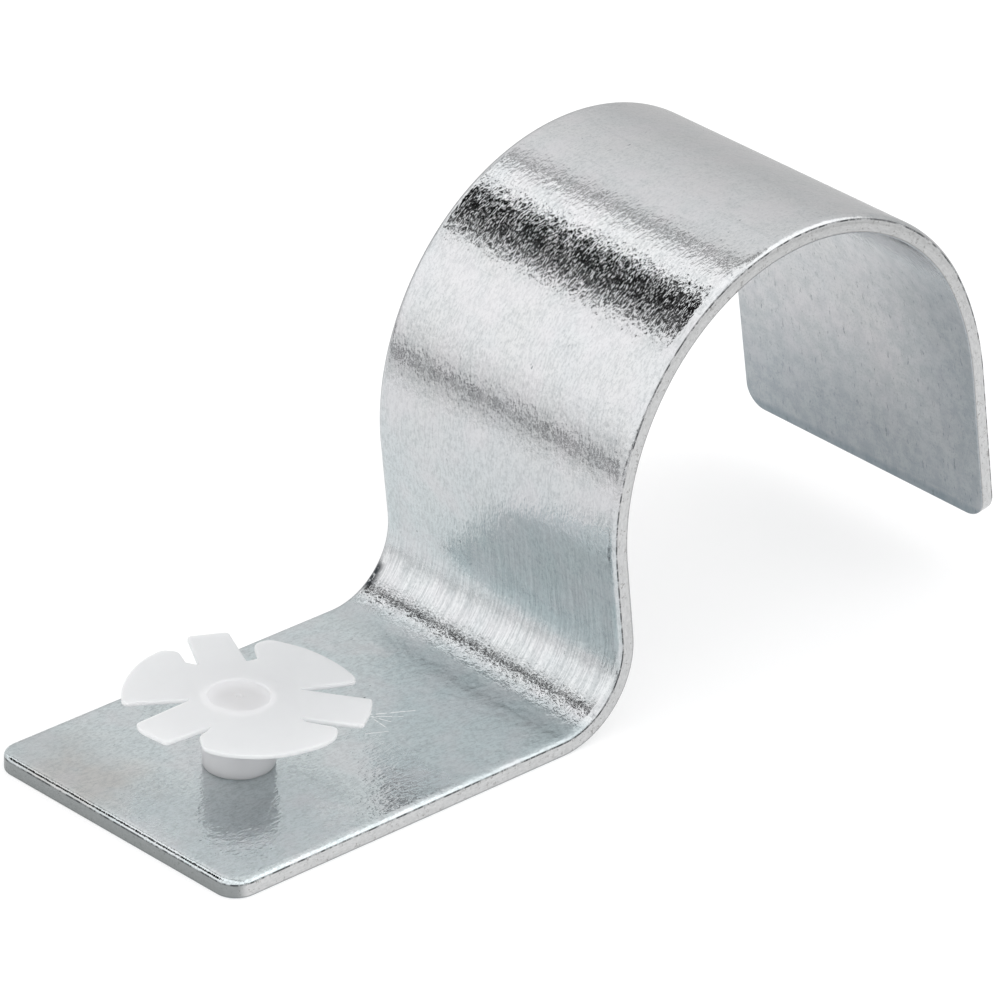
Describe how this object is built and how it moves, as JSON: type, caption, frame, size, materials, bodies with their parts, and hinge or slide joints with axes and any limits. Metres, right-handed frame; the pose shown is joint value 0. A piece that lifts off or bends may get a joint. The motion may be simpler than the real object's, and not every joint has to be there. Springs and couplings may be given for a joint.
{
  "type": "conduit strap",
  "caption": "One-hole strap bent from zinc-plated sheet steel that holds a conduit to a wall, with a plastic pin guide pressed into its foot.",
  "frame": {"origin": "on the fastener's axis, in the plane of the foot's underside, where it meets the wall", "axes": "+Z away from the wall, +X from the foot towards the arch, +Y along the conduit"},
  "size_m": [0.066, 0.0222, 0.0305],
  "materials": {
    "zinc_plated_steel": "satin",
    "natural_nylon": "satin"
  },
  "bodies": {
    "root": {"strap": "zinc_plated_steel", "pin_guide": "natural_nylon"}
  },
  "joints": []
}
